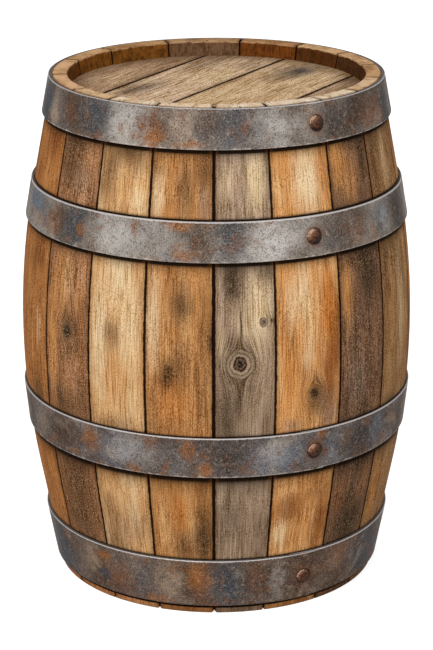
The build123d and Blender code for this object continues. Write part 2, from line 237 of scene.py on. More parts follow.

# Each mark: colour, degrees from the front, share of the height, half width and half length in mm, strength
# Some marks are painted shade: the wide, low marks along the hoops' edges, as at 0.905 of the height under the
# top hoop, carry on the hoops' painted shadow, and dark marks on stave_13 and stave_04 paint the shade at the
# cask's sides.
stave_marks = {
    "stave_13": [
        (sun, -61, 0.87, 5, 24, 0.6), (umber, -68, 0.66, 9, 18, 0.4), (umber, -65, 0.40, 20, 24, 0.8),
        (amber, -63, 0.005, 30, 12, 0.8), (honey, -66, 0.825, 14, 18, 0.5), (soot_and_shade, -66, 0.385, 30, 16, 0.4),
        (soot_and_shade, -66, 0.905, 24, 8, 0.35), (sun, -62, 0.27, 10, 34, 0.5), (pale, -63, 0.54, 6, 26, 0.35),
        (russet, -65, 0.90, 22, 22, 0.8), (russet, -64, 0.69, 18, 24, 0.75), (umber, -60, 0.13, 14, 18, 0.4),
    ],
    "stave_14": [
        (umber, -53, 0.88, 26, 40, 0.95), (umber, -47, 0.40, 34, 26, 0.75), (umber, -48, 0.24, 40, 62, 0.9),
        (umber, -47, 0.556, 14, 20, 0.8), (sun, -43, 0.62, 8, 20, 0.4), (honey, -54, 0.56, 12, 70, 0.7),
        (honey, -50, 0.65, 14, 36, 0.7), (umber, -41.5, 0.54, 11, 20, 0.5), (soot_and_shade, -48, 0.14, 40, 30, 0.5),
        (pale, -48, 0.66, 7, 20, 0.3), (umber, -41.5, 0.45, 11, 24, 0.7), (honey, -54, 0.52, 8, 60, 0.5),
        (amber, -47, 0.005, 44, 12, 1.0), (russet, -41.5, 0.53, 9, 50, 0.55),
        (soot_and_shade, -50, 0.905, 24, 10, 0.5), (ash, -46, 0.84, 20, 20, 0.4),
    ],
    "stave_15": [
        (pale, -29, 0.69, 16, 34, 0.8), (umber, -35.5, 0.87, 15, 40, 0.7), (umber, -31, 0.575, 13, 20, 0.6),
        (pale, -24, 0.60, 9, 50, 0.6), (sun, -33, 0.30, 13, 20, 0.5), (ash, -27, 0.18, 22, 26, 0.35),
        (umber, -28, 0.905, 28, 20, 0.8), (umber, -34, 0.14, 18, 32, 0.65), (umber, -30, 0.393, 34, 12, 0.6),
        (pale, -35, 0.58, 9, 60, 0.75), (honey, -30, 0.49, 14, 24, 0.4), (umber, -35, 0.21, 10, 20, 0.55),
        (pale, -24, 0.825, 12, 16, 0.6), (amber, -31, 0.005, 34, 12, 0.8),
    ],
    "stave_16": [
        (umber, -9.5, 0.85, 12, 36, 0.75), (pale, -18, 0.835, 9, 30, 0.6), (umber, -3, 0.55, 9, 110, 0.42),
        (soot_and_shade, -13.5, 0.503, 10, 22, 1.0), (umber, -10, 0.645, 14, 26, 0.9),
        (orange, -13, 0.45, 18, 32, 0.45), (orange, -11, 0.225, 13, 26, 0.5), (soot_and_shade, -4, 0.17, 13, 46, 0.9),
        (pale, -18, 0.61, 9, 56, 0.6),
        (umber, -10, 0.53, 14, 30, 0.6), (umber, -3.5, 0.89, 13, 26, 0.8), (umber, -10, 0.15, 16, 22, 0.75),
        (umber, -14, 0.40, 28, 14, 0.4), (umber, -17, 0.445, 8, 30, 0.3), (soot_and_shade, -18, 0.895, 12, 20, 0.3),
        (ash, -3.5, 0.825, 9, 22, 0.6), (soot_and_shade, -1.5, 0.575, 3.2, 16, 1.0),
    ],
    "stave_01": [
        (soot_and_shade, 4, 0.69, 15, 30, 0.95), (pale, 12, 0.63, 15, 46, 0.75), (umber, 8, 0.88, 5, 34, 0.4),
        (pale, 12, 0.87, 13, 34, 0.8), (soot_and_shade, 13.5, 0.19, 11, 30, 0.3), (soot_and_shade, 2.5, 0.43, 13, 44, 0.75),
        (soot_and_shade, 7, 0.29, 30, 20, 0.35), (pale, 7, 0.605, 8, 24, 0.4), (soot_and_shade, 4, 0.225, 20, 30, 0.45),
        (soot_and_shade, 8, 0.37, 32, 15, 0.65), (soot_and_shade, 2, 0.20, 12, 44, 0.35), (pale, 3, 0.865, 10, 18, 0.35),
        (soot_and_shade, 14, 0.705, 12, 16, 0.6), (soot_and_shade, 6.6, 0.463, 1.6, 24, 1.0), (soot_and_shade, 6.6, 0.605, 1.4, 22, 1.0),
        (soot_and_shade, 15.8, 0.611, 2.4, 3.4, 1.0), (umber, 6.6, 0.575, 5, 9, 0.6), (umber, 6.6, 0.49, 5, 9, 0.6),
        (soot_and_shade, 14, 0.41, 12, 20, 0.3), (soot_and_shade, 6.6, 0.53, 12, 16, 0.35), (pale, 1.5, 0.565, 6, 20, 0.4),
    ],
    "stave_02": [
        (pale, 29, 0.86, 20, 40, 0.9), (orange, 33.5, 0.61, 11, 66, 0.95), (pale, 25, 0.66, 11, 36, 0.6),
        (umber, 29.5, 0.445, 16, 24, 0.8), (ash, 34, 0.42, 14, 30, 0.6), (russet, 33.5, 0.47, 9, 34, 0.7),
        (russet, 23, 0.225, 20, 22, 0.8), (umber, 32, 0.25, 16, 12, 0.35), (pale, 20, 0.17, 9, 18, 0.6),
        (russet, 34, 0.18, 13, 50, 0.85), (russet, 35.5, 0.56, 9, 50, 0.8), (orange, 20.5, 0.50, 8, 34, 0.6),
        (orange, 30.5, 0.60, 4, 60, 0.5), (ash, 22, 0.40, 16, 10, 0.5), (orange, 34, 0.87, 7, 26, 0.5),
        (pale, 21.5, 0.64, 8, 32, 0.5), (pale, 26.5, 0.545, 8, 32, 0.45), (russet, 33, 0.52, 10, 24, 0.65),
    ],
    "stave_03": [
        (honey, 41, 0.885, 14, 34, 0.95), (honey, 40, 0.64, 9, 38, 0.8), (soot_and_shade, 48, 0.68, 14, 36, 0.65),
        (ash, 44, 0.47, 14, 40, 0.35), (soot_and_shade, 47, 0.16, 26, 34, 0.85), (sun, 52, 0.24, 8, 22, 0.25),
        (honey, 46, 0.84, 12, 22, 0.5), (soot_and_shade, 51, 0.66, 14, 30, 0.75), (soot_and_shade, 48, 0.385, 26, 14, 0.65),
        (soot_and_shade, 53, 0.88, 9, 30, 0.9), (russet, 41, 0.22, 8, 30, 0.5), (soot_and_shade, 47, 0.705, 34, 14, 0.5),
        (soot_and_shade, 47, 0.285, 34, 14, 0.4), (soot_and_shade, 50, 0.905, 24, 10, 0.5), (soot_and_shade, 46, 0.15, 34, 40, 0.35),
    ],
    "stave_04": [
        (umber, 58, 0.66, 8, 60, 0.5), (sun, 60, 0.20, 12, 40, 0.65), (pale, 67, 0.86, 9, 34, 0.45),
        (umber, 59, 0.86, 12, 42, 0.75), (pale, 68, 0.57, 12, 70, 0.4), (soot_and_shade, 62, 0.385, 22, 16, 0.65),
        (honey, 62, 0.57, 6, 40, 0.4), (soot_and_shade, 62, 0.70, 20, 14, 0.4), (soot_and_shade, 62, 0.90, 20, 12, 0.4),
    ],
}
print(sum(len(marks) for marks in stave_marks.values()), "marks on the staves that show")

# %% [markdown]
# The staves at the back have weathered too, but nobody has seen them. Their marks are drawn by lot from the
# same kinds, one seed for each stave, so that they come out the same every time.

# %% Marks on the staves at the back
mark_kinds = [(umber, 0.7), (soot_and_shade, 0.7), (pale, 0.6), (honey, 0.5), (russet, 0.6), (ash, 0.5), (orange, 0.4)]


def drawn_marks(number, half_width, count=11):
    """Marks for a stave at the back: colour, mm across and along, half width and half length, strength."""
    lot = Random(number)
    marks = []
    for _ in range(count):
        tone, strength = lot.choice(mark_kinds)
        across, along = lot.uniform(-half_width, half_width), lot.uniform(0.05, 0.95) * cask_height
        wide, long = lot.uniform(7, 20), lot.uniform(16, 60)
        marks.append((tone, across, along, wide, long, lot.uniform(0.6, 1.1) * strength))
    return marks


print("a stave at the back gets", len(drawn_marks(9, 30)), "marks")

# %% [markdown]
# A knot is where a branch grew through the stave. The grain parts round it, and the knot itself is darker,
# ringed and often split. Pushing the grain's own coordinates aside makes every streak flow round it.

# %% Knots in the staves
# Each knot: degrees from the front, share of the height, radius in mm, how dark it is, if it is ringed
stave_knots = {
    "stave_01": [(6.6, 0.5315, 6.2, 1.0, True), (13.2, 0.610, 2.0, 0.55, True)],
    "stave_14": [(-47.2, 0.556, 5.6, 1.0, False)],
    "stave_02": [(28.4, 0.460, 4.4, 0.8, False)],
    "stave_06": [(118.0, 0.62, 5.0, 0.9, False)],
    "stave_11": [(263.0, 0.44, 5.4, 1.0, True)],
}


def part_grain(tree, place, across, along, radius):
    """Bend the across direction round a knot, as water parts round a post, so that streaks flow round it."""
    away = oval(tree, place, across, along, 1.9 * radius, 2.1 * radius)
    parting = add(tree, "Math", [away, -2.0], operation="POWER")
    kept = add(tree, "Math", [1.0, parting], operation="SUBTRACT", use_clamp=True)
    split = add(tree, "SeparateXYZ", [place])
    offset = add(tree, "Math", [split.outputs["X"], across], operation="SUBTRACT")
    moved = add(tree, "Math", [offset, kept, across], operation="MULTIPLY_ADD")
    return add(tree, "CombineXYZ", [moved, split.outputs["Y"], split.outputs["Z"]])


def draw_knot(tree, colour, place, grained, across, along, radius, dark, ringed):
    """A dark heart, with rings and a pale collar where it is sound. Dark grain crowds round it."""
    uneven = add(tree, "TexNoise", {"Vector": place, "Scale": 0.16, "Detail": 2.0}).outputs["Color"]
    bent = add(tree, "VectorMath", [uneven, (0.6 * radius, 0, 0.9 * radius), place], operation="MULTIPLY_ADD")
    away = oval(tree, bent, across + 0.3 * radius, along + 0.45 * radius, radius, 1.08 * radius)
    wide = oval(tree, bent, across + 0.3 * radius, along + 0.45 * radius, radius, 1.7 * radius)
    crowd = add(tree, "MapRange", [wide, 5.4, 1.2, 0.0, 1.0], **eased)
    lines = add(tree, "MapRange", [streaks(tree, grained, 1.5, 40, radius, 1.0), 0.48, 0.60])
    outside = add(tree, "MapRange", [away, 1.9, 2.3])
    flow = add(tree, "Math", [crowd, lines], operation="MULTIPLY")
    flow = add(tree, "Math", [flow, outside], operation="MULTIPLY")
    colour = coat(tree, colour, "3A2A1E", flow, 0.0, 1.0, 0.8 * dark)
    if not ringed:
        colour = coat(tree, colour, "4A3420", away, 2.6, 0.9, 0.75 * dark)
        return coat(tree, colour, "1C110A", away, 1.25, 0.6, dark)
    for reach, tone in ((2.34, "4E3E32"), (2.16, "94806A"), (1.74, "443428"), (1.52, "A08A74")):
        colour = coat(tree, colour, tone, away, reach + 0.10, reach - 0.08, 0.75)
    colour = coat(tree, colour, "2C1E16", away, 1.22, 1.04, dark)
    colour = coat(tree, colour, "58463A", away, 0.86, 0.74, 0.7 * dark)
    return coat(tree, colour, "0C0806", away, 0.56, 0.36, dark)


print(sum(len(knots) for knots in stave_knots.values()), "knots")

# %% [markdown]
# The oak shader runs from coarse to fine: the board's tones, bands a few millimetres wide, its marks, fine
# grain, then flecks. The grain also lifts the surface a little, because the soft spring wood wears away first
# and leaves ridges. Along each joint lies a ragged line of dirt, widest where the joint has opened.

# %% Oak
oak_roughness = 0.78
oak_shine = 0.02
grain_lift = 0.35
joint_dirt = 1.0
joint_raggedness = 1.8
end_opening = 0.6
mark_drift = (6, 6, 16)
mark_fade = (1.35, 0.05)

# Width and length of the streaks in mm
broad_size, band_size = (15, 80), (2.6, 60)
grain_size, fleck_size = (finest_streak, 26), (finest_streak, 1.3)


def oak(name, find_place, half_width, tones, marks=(), knots=(), seed=1.0, finish=None,
        dirt=(joint_dirt, joint_dirt), contrast=1.0):
    """Dry, weathered oak for one board. Marks and knots are placed in mm across and along it.

    Dirt is the width in mm of the dark line in its left and in its right joint. Contrast is the grain's.
    """
    material, tree, shader = new_material(name)
    place = find_place(tree)
    wobble = add(tree, "TexNoise", {"Vector": place, "Scale": 0.07, "Detail": 2.0})
    drift = add(tree, "VectorMath", [wobble.outputs["Color"], (0.5, 0.5, 0.5)], operation="SUBTRACT")
    loose = add(tree, "VectorMath", [drift, mark_drift, place], operation="MULTIPLY_ADD")
    grained = place
    for across, along, radius, *_ in knots:
        grained = part_grain(tree, grained, across, along, radius)

    light, body, dark = tones
    broad = streaks(tree, grained, *broad_size, seed)
    band = streaks(tree, grained, *band_size, seed + 1)
    colour = coat(tree, linear(body), dark, broad, 0.46, 0.22, 0.8)
    colour = coat(tree, colour, light, broad, 0.48, 0.78, 0.8)
    colour = coat(tree, colour, dark, band, 0.50, 0.74, 0.3)
    colour = coat(tree, colour, light, band, 0.50, 0.26, 0.3)
    for tone, across, along, wide, long, strength in marks:
        away = oval(tree, loose, across, along, wide, long)
        colour = coat(tree, colour, tone, away, *mark_fade, strength)

    grain = streaks(tree, grained, *grain_size, seed + 2, 1.0)
    fleck = streaks(tree, place, *fleck_size, seed + 3, 1.0)
    for knot in knots:
        colour = draw_knot(tree, colour, place, grained, *knot)
    colour = coat(tree, colour, "A08210", grain, 0.48, 0.72, 0.74 * contrast, "MULTIPLY")
    colour = coat(tree, colour, "FFF1F2", grain, 0.52, 0.28, 0.34 * contrast, "SOFT_LIGHT")
    colour = coat(tree, colour, "987A0C", fleck, 0.50, 0.72, 0.72 * contrast, "MULTIPLY")
    colour = coat(tree, colour, "FFDCA8", fleck, 0.50, 0.28, 0.15 * contrast)

    side = add(tree, "SeparateXYZ", [place]).outputs["X"]
    ragged = streaks(tree, place, 30, 6, seed + 8)
    if finish:
        colour = finish(tree, colour, place, seed)
    open_end = add(tree, "MapRange", [facing_ends(tree), 0.60, 0.75, half_width, half_width - end_opening])
    for way, width in zip((1.0, -1.0), dirt):
        from_edge = add(tree, "Math", [side, way, open_end], operation="MULTIPLY_ADD")
        rough_edge = add(tree, "Math", [ragged, joint_raggedness, from_edge], operation="MULTIPLY_ADD")
        colour = coat(tree, colour, "5A3418", rough_edge, width + 6.0, width + 1.0, 0.35)
        colour = coat(tree, colour, "140B06", rough_edge, width + 1.5, width + 0.7, 0.97)

    height = add(tree, "Math", [grain, fleck], operation="ADD")
    bump = add(tree, "Bump", {"Height": height, "Strength": 0.4, "Distance": grain_lift * mm}, invert=True)
    tree.links.new(colour.outputs[0], shader.inputs["Base Color"])
    tree.links.new(bump.outputs[0], shader.inputs["Normal"])
    shader.inputs["Roughness"].default_value = oak_roughness
    shader.inputs["Specular IOR Level"].default_value = oak_shine
    return material


print("oak: roughness", oak_roughness, "and ridges of", grain_lift, "mm")

# %% [markdown]
# The staves' ends make the rim. There the saw cut across the fibres, so the wood shows short ticks that
# point to the cask's axis, it is paler, and it has split in places. Inside the rim, the chime is stained dark
# by what was spilt, and its top arris is worn pale and also painted with a highlight. Under each hoop's edge
# the wood is painted dark, for rust and dirt washed down and for the hoop's shadow, and the foot is painted
# darker as shade near the floor.

# %% Ends, chime, hoop shadows and stains of the staves
chime_inside = 152.0
end_rim, end_rim_fade = 161.5, 1.25
worn_highlight_top = 3.4
dark_foot = 11.0
hoop_names = sorted(name for name in nodes if name.endswith("_hoop"))
hoop_spans = [(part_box(name)[0].z / mm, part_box(name)[1].z / mm) for name in hoop_names]
shadow_and_stain_reach = [1.6 if name == "lower_bilge_hoop" else 1.0 for name in hoop_names]

# Each band of painted shadow and stain beside a hoop: how far below the hoop it begins and is full, both in
# mm, and its strength
hoop_shadows_and_stains = ((17, 2, 0.4), (8, 2, 0.65), (4.6, 3.0, 0.96))


def stave_ends(tones, tree, colour, place, seed):
    """The parts of a stave unlike its face: stains and painted shadow by the hoops, the chime, its arris worn
    and painted with a highlight, painted shade at the foot, and the end grain.
    """
    wall_tone, end_dark, end_light = tones
    split = add(tree, "SeparateXYZ", [place])
    across, radius, height = (split.outputs[name] for name in "XYZ")
    # Painted shadow under each hoop and a thin band of it over the hoop, together with rust and dirt washed
    # down.
    for (low, high), wide in zip(hoop_spans, shadow_and_stain_reach):
        for reach, full, strength in hoop_shadows_and_stains:
            start = max(low - wide * reach, 0.6 * low)
            below = add(tree, "MapRange", [height, start, low - full], **eased)
            above = add(tree, "MapRange", [height, high + 0.25 * reach + 0.7, high], **eased)
            both = add(tree, "Math", [below, above], operation="MULTIPLY")
            colour = coat(tree, colour, "150B05", both, 0.0, 1.0, strength)
    inside = add(tree, "MapRange", [radius, chime_inside, chime_inside - 3], **eased)
    stained = add(tree, "Math", [inside, streaks(tree, place, 7, 6, seed + 5, 3.0)], operation="MULTIPLY")
    colour = coat(tree, colour, wall_tone, inside, 0.0, 1.0, 0.9)
    colour = coat(tree, colour, "2E1A0A", stained, 0.40, 0.70, 0.6)
    fibres = add(tree, "Math", [inside, streaks(tree, place, 1.0, 9, seed + 4)], operation="MULTIPLY")
    colour = coat(tree, colour, "3A2010", fibres, 0.48, 0.66, 0.7)
    # The chime's top arris is worn pale, and this pale coat also paints a highlight on it.
    arris = add(tree, "MapRange", [height, cask_height - worn_highlight_top, cask_height - worn_highlight_top + 2], **eased)
    wear_and_highlight = add(tree, "Math", [arris, inside], operation="MULTIPLY")
    wear_and_highlight = add(tree, "Math", [wear_and_highlight, streaks(tree, place, 9, 4, seed + 3)], operation="MULTIPLY")
    colour = coat(tree, colour, "C89E72", wear_and_highlight, 0.30, 0.60, 0.7)
    # Painted shade near the floor: the staves are darker towards the foot.
    colour = coat(tree, colour, "947A62", height, dark_foot, dark_foot - 5, 0.6, "MULTIPLY")
    cut = add(tree, "MapRange", [facing_ends(tree), 0.60, 0.75])
    flat = add(tree, "CombineXYZ", [across, height, radius])
    bleached = streaks(tree, flat, 22, 16, seed + 7, 3.0)
    ticks = streaks(tree, flat, 1.1, 9, seed + 6)
    wave = add(tree, "Math", [streaks(tree, flat, 9, 40, seed + 9), 0.5], operation="SUBTRACT")
    split_line = add(tree, "Math", [wave], operation="ABSOLUTE")
    end = coat(tree, linear(end_dark), end_light, bleached, 0.30, 0.62)
    end = coat(tree, end, "8A6038", ticks, 0.50, 0.70, 0.5)
    end = coat(tree, end, "4A2E18", split_line, 0.012, 0.003, 0.75)
    end = coat(tree, end, "5A3A20", radius, end_rim, end_rim + end_rim_fade, 0.6)
    return add(tree, "MixRGB", [cut, colour, end])


def across_to(middle, angle):
    """Millimetres across a stave, from its middle to an angle in degrees from the front."""
    return ((radians(angle) - middle + pi) % (2 * pi) - pi) * bilge_radius


# Tones of the chime's wall and of the end grain, dark and light. The sun has bleached the ends in front.
front_ends = ("A07450", "D8B28C", "F2DABA")
bleached_ends = ("A07450", "E2C2A0", "F8E6CC")
end_tones = {
    "stave_01": bleached_ends, "stave_02": bleached_ends, "stave_14": ("A07450", "C69C70", "E0BC90"),
    "stave_13": ("7A4A22", "B88C60", "E0B48A"), "stave_04": ("5A3A1E", "C0966E", "ECC8A0"),
    "stave_05": ("4E3016", "9A7048", "D0A478"), "stave_06": ("52341A", "A67C54", "D8AC82"),
    "stave_07": ("5E3616", "BA9266", "E4BA8C"), "stave_08": ("7A4418", "9A7046", "BE9268"),
    "bung_stave": ("7C5C42", "8E6C4C", "B6906C"), "stave_10": ("84521E", "987048", "C2966A"),
    "stave_11": ("88541E", "B08A5C", "D8AA7E"), "stave_12": ("74441A", "B2885A", "DEB084"),
}

# The joint in front has opened, and the next one on each side is worn, so more dirt shows in them.
joint_dirt_by_side = {
    "stave_15": (joint_dirt, 1.2), "stave_16": (1.2, 1.6),
    "stave_01": (1.6, 1.1), "stave_02": (1.1, joint_dirt),
}
contrast_by_stave = {"stave_13": 1.3, "stave_14": 1.7, "stave_03": 1.3, "stave_04": 1.5}
for number, name in enumerate(stave_names):
    middle, half_width = stave_spread(name)
    marks = [
        (tone, across_to(middle, angle), share * cask_height, wide, long, strength)
        for tone, angle, share, wide, long, strength in stave_marks.get(name, ())
    ] or drawn_marks(number, half_width)
    knots = [
        (across_to(middle, angle), share * cask_height, *rest)
        for angle, share, *rest in stave_knots.get(name, ())
    ]
    dress(name, oak(
        f"weathered_oak_{name}", partial(stave_directions, middle=middle), half_width,
        stave_tones[hidden_tones.get(name, name)], marks, knots, 3.0 + 1.7 * number,
        partial(stave_ends, end_tones.get(name, front_ends)),
        joint_dirt_by_side.get(name, (joint_dirt, joint_dirt)), contrast_by_stave.get(name, 1.0),
    ))
print(len(stave_names), "staves dressed")

# %% [markdown]
# The head is of the same oak, but it lies under the weather: greyer, with ink-like stains where wet iron
# stood on it. Its boards run one way, so they share one turn, and each keeps its own tones.

# %% Oak of the heads
top_run, bottom_run = 61.0, 69.0
head_radius = 140.0
head_dirt = (0.9, 0.9)
head_contrast = 1.7
ink = "3A3C44"
head_tones = {
    1: ("DCBC9C", "BE9C80", "8C6E54"), 2: ("F6DCBE", "E0C0A2", "AC8C70"),
    3: ("F2D6B0", "E2C09A", "B28E6A"), 4: ("E0C2A2", "BC9C80", "806852"),
}

# Each mark: colour, mm across and along the head, half width and half length in mm, strength
head_marks = {
    1: [(umber, 80, 20, 12, 90, 0.55), (umber, 78, -60, 12, 30, 0.5), (pale, 112, -20, 16, 40, 0.5)],
    2: [(ash, 58, -44, 18, 40, 0.85), (soot_and_shade, 64, -60, 12, 30, 0.5), (umber, 62, 90, 20, 50, 0.6),
        (pale, 22, 30, 18, 60, 0.9), (pale, 46, 40, 10, 40, 0.5), (ash, 20, 104, 16, 24, 0.5)],
    3: [(ink, -42, 98, 20, 38, 1.0), (ash, -34, 66, 20, 34, 0.5), (soot_and_shade, -48, -104, 14, 28, 0.9),
        (pale, -20, -60, 14, 40, 0.5), (ash, -20, 104, 20, 30, 0.5), (ash, -16, -110, 12, 20, 0.5)],
    4: [(ash, -112, -34, 16, 24, 0.5), (umber, -108, 100, 18, 36, 0.7), (pale, -72, -10, 14, 70, 0.9),
        (honey, -74, 96, 12, 30, 0.5)],
}


def wall_shade_and_dirt(shift, tree, colour, place, seed):
    """Painted shade on a head board where it nears the chime's wall, with the dirt that gathers where the wall
    keeps the brush and the rain away.
    """
    from_middle = oval(tree, place, -shift, 0, head_radius, head_radius)
    uneven = streaks(tree, place, 12, 20, seed + 5)
    drifted = add(tree, "Math", [uneven, 0.12, from_middle], operation="MULTIPLY_ADD")
    # Painted shade and dirt near the chime's wall.
    return coat(tree, colour, "5E4430", drifted, 0.86, 1.10, 0.55)


def head_directions(tree, run, shift):
    """The directions of a board from its own middle, which lies shift mm across the head."""
    return add(tree, "VectorMath", [board_directions(tree, run), (shift, 0, 0)], operation="SUBTRACT")


def board_spread(name, run):
    """Where a board's middle lies across the head, and half its width, in mm."""
    turns = [vertex.co.y * cos(run) - vertex.co.x * sin(run) for vertex in nodes[name].data.vertices]
    return (min(turns) + max(turns)) / 2 / mm, (max(turns) - min(turns)) / 2 / mm


for end, run in (("top", radians(top_run)), ("bottom", radians(bottom_run))):
    for number in head_tones:
        name = f"{end}_head_board_{number}"
        shift, half_width = board_spread(name, run)
        print(f"{name}: {shift - half_width:.0f} to {shift + half_width:.0f} mm across the head")
        marks = [(tone, across - shift, *rest) for tone, across, *rest in head_marks[number] if end == "top"]
        dress(name, oak(
            f"weathered_oak_{name}", partial(head_directions, run=run, shift=shift), half_width,
            head_tones[number], marks, (), 40.0 + number, partial(wall_shade_and_dirt, shift),
            head_dirt, head_contrast,
        ))
    dress(f"{end}_head_dowels", nodes[f"{end}_head_board_2"].data.materials[0])
print("both heads and their dowels dressed")

# %% [markdown]
# The hoops are strip iron, rolled hot, bent cold and riveted. Years of damp have left blue-grey scale, brown
# rust in soft clouds and bright orange specks, and hammering them down has worn their edges bare. Some blots
# and edges on them are painted highlights and painted shade. Metal is nearly all reflection, so its roughness
# matters more than its colour, and rust is no metal at all.

# %% Iron of the hoops
slate, scale_blue, cream_and_highlight, tan = "39424B", "606D7B", "B8B2AC", "9E8670"
rust_dark, rust_brown, rust_orange, grime_and_shade = "46301F", "724C36", "925A2A", "3A322E"

# Each noise on a hoop: size of its grain in mm, detail, roughness, distortion
hoop_noises = {
    "cloud": (46, 2.0, 0.5, 0.0), "patch": (19, 3.0, 0.6, 0.0), "bloom": (30, 2.0, 0.5, 0.6),
    "speck": (1.3, 1.0, 0.5, 0.0), "spots": (5, 3.0, 0.7, 0.0), "warp": (12, 5.0, 0.65, 0.0),
}
blot_drift = (38, 0, 28)
blot_fade = (1.35, 0.1)
rivet_shade = Vector((0.4, 0.2, -0.5))

# The tone of a hoop's lower edge begins this high up in mm, less the 3 mm or so that its noise adds.
lower_edge = 4.8

# Each hoop: its darkest and its plainest tone, how wide in mm its upper edge is worn bright and painted with a
# highlight, and the tone and strength of its lower edge, a painted highlight on the upper three hoops and
# painted dark on the bottom one. They are browner towards the foot, where the damp is.
hoop_tones = {
    "top_chime_hoop": ("5A4E46", "827870", 1.1, "DCD0C4", 0.55),
    "upper_bilge_hoop": ("655B51", "918982", 1.7, "DCD0C4", 0.4),
    "lower_bilge_hoop": ("544842", "776E6A", 1.5, "DCD0C4", 0.4),
    "bottom_chime_hoop": ("504034", "706056", 1.5, "2A211C", 0.4),
}

# Each blot: colour, degrees from the front, mm up from the hoop's lower edge, half width and half height in
# mm, strength
# The cream blots near -30 and +17 degrees are painted highlights of the lamps. The dark ones near -52, -3 and
# +42 degrees are rust that also paints the dark between those highlights, and the dark ones near -70 and +70
# degrees are scale and grime that also paint the shade at the hoops' sides.
hoop_blots = {
    "top_chime_hoop": [
        (slate, -74, 20, 26, 34, 0.9), (tan, -66, 12, 12, 12, 0.7), (rust_dark, -54, 20, 26, 30, 0.95),
        (rust_brown, -55, 18, 9, 16, 0.6), (slate, -42, 24, 24, 22, 0.75), (rust_brown, -41, 3, 20, 6, 0.7),
        (cream_and_highlight, -30, 16, 26, 26, 0.85), (rust_orange, -20.5, 8, 14, 15, 0.8),
        (rust_brown, -20, 28, 10, 14, 0.7), (tan, -11, 20, 18, 24, 0.45), (rust_orange, -9, 4, 18, 5, 0.6),
        (rust_dark, -3, 18, 14, 26, 0.6),
        (slate, 5, 20, 20, 26, 0.55), (cream_and_highlight, 18, 18, 26, 26, 0.65), (grime_and_shade, 40, 18, 20, 30, 0.75),
        (rust_dark, 50, 20, 26, 30, 0.8), (rust_brown, 60, 14, 26, 14, 0.8), (tan, 66, 10, 12, 10, 0.5),
        (slate, 74, 20, 16, 30, 0.8),
    ],
    "upper_bilge_hoop": [
        (scale_blue, -70, 28, 30, 18, 0.9), (tan, -67, 12, 18, 8, 0.7), (rust_brown, -57, 16, 20, 16, 0.95),
        (rust_dark, -52, 24, 14, 16, 0.6), (slate, -44, 20, 26, 30, 0.8), (rust_orange, -43, 18, 7, 8, 0.8),
        (cream_and_highlight, -30, 18, 36, 28, 0.8), (rust_orange, -11, 36, 16, 6, 0.8), (rust_orange, -10, 8, 14, 9, 0.75),
        (rust_dark, -4, 18, 15, 28, 0.85), (slate, 4, 20, 16, 28, 0.7), (cream_and_highlight, 16, 18, 28, 26, 0.95),
        (rust_brown, 15, 37, 9, 4, 0.6), (rust_dark, 40, 20, 40, 32, 0.75), (rust_brown, 46, 16, 18, 12, 0.5),
        (scale_blue, 58, 24, 16, 18, 0.7), (cream_and_highlight, 59, 18, 9, 12, 0.4), (rust_orange, 53, 10, 7, 7, 0.5),
        (grime_and_shade, 71, 20, 26, 30, 0.85),
    ],
    "lower_bilge_hoop": [
        (grime_and_shade, -74, 20, 20, 30, 0.8), (tan, -63, 22, 18, 16, 0.4), (rust_dark, -50, 20, 28, 30, 0.8),
        (rust_orange, -39, 26, 12, 14, 0.75), (rust_orange, -46, 6, 12, 4, 0.5),
        (scale_blue, -30, 20, 20, 24, 0.4), (cream_and_highlight, -24, 24, 34, 20, 0.45), (rust_orange, -24, 3, 9, 5, 0.7),
        (rust_orange, -8.5, 30, 8, 14, 0.75), (rust_orange, -3.5, 8, 11, 12, 0.8),
        (grime_and_shade, 5, 20, 22, 28, 0.75), (scale_blue, 18, 20, 28, 26, 0.6), (cream_and_highlight, 17, 26, 16, 16, 0.35),
        (rust_orange, 31, 36, 6, 5, 0.7),
        (scale_blue, 35, 20, 12, 24, 0.4), (grime_and_shade, 45, 20, 26, 30, 0.85), (rust_brown, 49, 34, 9, 7, 0.7),
        (scale_blue, 54, 22, 14, 22, 0.45), (rust_brown, 57, 8, 9, 7, 0.6), (rust_dark, 70, 20, 28, 30, 0.75),
    ],
    "bottom_chime_hoop": [
        (slate, -66, 26, 36, 40, 0.85), (rust_brown, -60, 44, 14, 8, 0.5), (tan, -46, 32, 12, 18, 0.7),
        (rust_orange, -40, 40, 12, 9, 0.75), (slate, -41, 18, 8, 7, 0.85), (rust_brown, -34, 18, 24, 20, 0.8),
        (slate, -25, 26, 12, 28, 0.4), (tan, -15.5, 30, 16, 24, 0.9), (rust_orange, -6, 34, 15, 20, 0.95),
        (rust_brown, -5, 12, 16, 12, 0.6), (slate, 4, 26, 20, 36, 0.8), (rust_brown, 13, 28, 10, 30, 0.6),
        (cream_and_highlight, 20.5, 26, 10, 26, 0.3), (rust_dark, 30, 26, 24, 36, 0.8), (rust_brown, 44, 32, 28, 22, 0.8),
        (rust_dark, 46, 12, 30, 20, 0.7), (tan, 43, 30, 14, 12, 0.35), (slate, 60, 26, 24, 36, 0.85),
        (slate, 73, 26, 20, 36, 0.7), (rust_orange, -22, 4, 26, 5, 0.6),
    ],
}
# The back of each hoop gets blots by lot, like the staves.
for number, name in enumerate(hoop_names):
    lot = Random(number)
    for angle in range(88, 276, 11):
        tone = lot.choice([slate, rust_dark, rust_brown, rust_orange, cream_and_highlight, tan, grime_and_shade, scale_blue])
        turn, up = angle + lot.uniform(-4, 4), lot.uniform(6, 34)
        wide, tall = lot.uniform(10, 28), lot.uniform(8, 28)
        hoop_blots[name].append((tone, turn, up, wide, tall, lot.uniform(0.4, 0.9)))
print(sum(len(blots) for blots in hoop_blots.values()), "blots on", len(hoop_blots), "hoops")


